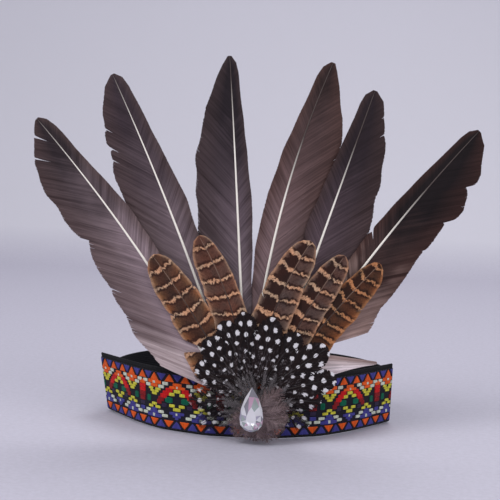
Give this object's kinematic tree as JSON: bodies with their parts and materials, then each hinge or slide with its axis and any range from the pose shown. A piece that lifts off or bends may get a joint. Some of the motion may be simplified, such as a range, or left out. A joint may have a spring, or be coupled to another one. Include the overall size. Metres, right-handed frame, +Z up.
{
  "type": "feathered headdress",
  "caption": "Headdress with a woven ribbon band closed by an elastic strap, and a front fan of wing, pheasant and spotted feathers behind a crystal drop.",
  "frame": {"origin": "centre of the overall box at the height of the floor that the band's lower edge stands on", "axes": "+Z up, +X to the viewer's right when the feathers face the viewer, +Y from the feathers to the elastic at the back"},
  "size_m": [0.302, 0.2018, 0.2512],
  "materials": {
    "black_felt": "matt felt backing",
    "ribbon_weave": "woven trim with a traditional stepped pattern",
    "black_elastic": "ribbed elastic",
    "wing_brown": "dark brown wing feather",
    "pheasant_brown": "barred brown feather",
    "guinea_black": "black feather with white dots",
    "grey_down": "soft grey-brown down",
    "clear_crystal": "faceted clear crystal"
  },
  "bodies": {
    "root": {"backing_band": "black_felt", "woven_ribbon": "ribbon_weave", "elastic_strap": "black_elastic", "wing_feather_1": "wing_brown", "wing_feather_2": "wing_brown", "wing_feather_3": "wing_brown", "wing_feather_4": "wing_brown", "wing_feather_5": "wing_brown", "wing_feather_6": "wing_brown", "pheasant_feather_1": "pheasant_brown", "pheasant_feather_2": "pheasant_brown", "pheasant_feather_3": "pheasant_brown", "pheasant_feather_4": "pheasant_brown", "pheasant_feather_5": "pheasant_brown", "guinea_feather_1": "guinea_black", "guinea_feather_2": "guinea_black", "guinea_feather_3": "guinea_black", "guinea_feather_4": "guinea_black", "guinea_feather_5": "guinea_black", "guinea_feather_6": "guinea_black", "guinea_feather_7": "guinea_black", "guinea_feather_8": "guinea_black", "guinea_feather_9": "guinea_black", "guinea_feather_10": "guinea_black", "guinea_feather_11": "guinea_black", "guinea_feather_12": "guinea_black", "down_tuft": "grey_down", "crystal": "clear_crystal"}
  },
  "joints": []
}
